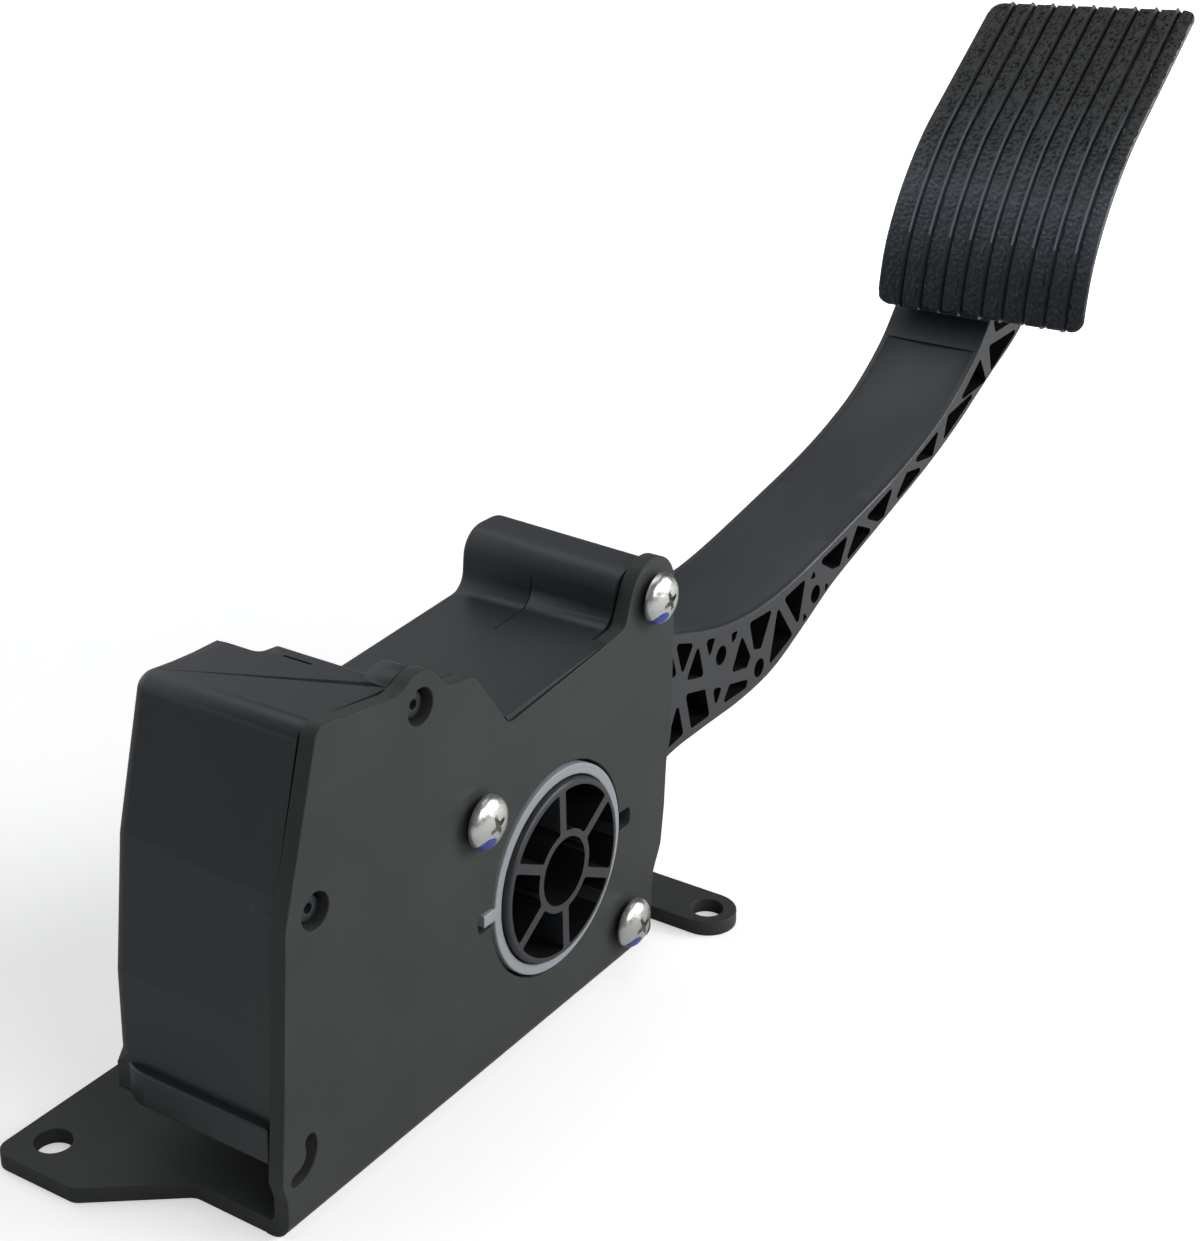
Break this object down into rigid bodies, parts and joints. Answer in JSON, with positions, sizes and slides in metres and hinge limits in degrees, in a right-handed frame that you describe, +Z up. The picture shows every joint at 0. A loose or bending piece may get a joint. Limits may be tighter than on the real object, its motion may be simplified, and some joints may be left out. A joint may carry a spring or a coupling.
{
  "type": "accelerator pedal",
  "caption": "Electronic accelerator pedal: truss-ribbed nylon arm with a ribbed rubber pad, hinged in a moulded housing on a folded black steel bracket.",
  "frame": {"origin": "underside of the bracket's base flange, straight below the hub axis, in the middle of the arm's width", "axes": "+X from the hub towards the pad; +Y from the steel side plate into the housing; +Z up"},
  "size_m": [0.3283, 0.073, 0.1538],
  "materials": {
    "steel_black": "satin",
    "plastic_black": "satin",
    "nylon_dark": "satin",
    "rubber_black": "matte",
    "acetal_grey": "satin",
    "zinc_bright": "bright",
    "spring_steel": "satin",
    "liner_brown": "matte",
    "laminate_green": "satin",
    "brass_pin": "bright"
  },
  "bodies": {
    "root": {"mounting_bracket": "steel_black", "housing": "plastic_black", "near_bushing": "acetal_grey", "far_bushing": "acetal_grey", "friction_shoe": "liner_brown", "idle_bumper": "rubber_black", "screw_top": "zinc_bright", "screw_middle": "zinc_bright", "screw_lower": "zinc_bright", "outer_spring": "spring_steel", "inner_spring": "spring_steel", "sensor_gasket": "rubber_black", "sensor_cover": "plastic_black", "circuit_board": "laminate_green", "hall_sensor_1": "plastic_black", "hall_sensor_2": "plastic_black", "terminal_1": "brass_pin", "terminal_2": "brass_pin", "terminal_3": "brass_pin", "terminal_4": "brass_pin", "terminal_5": "brass_pin", "terminal_6": "brass_pin", "cover_screw_1": "zinc_bright", "cover_screw_2": "zinc_bright", "cover_screw_3": "zinc_bright", "cover_screw_4": "zinc_bright"},
    "arm": {"pedal_arm": "nylon_dark", "pedal_pad": "rubber_black", "spring_seat": "acetal_grey", "hub_magnet": "plastic_black"}
  },
  "joints": [
    {"name": "pedal", "type": "hinge", "parent": "root", "child": "arm", "pos_m": [0, 0, 0.0325], "axis": [0, 1, 0], "range_deg": [0, 16], "stiffness_Nm_per_rad": 17, "springref_deg": -14.32, "deforming": ["outer_spring", "inner_spring"]}
  ]
}
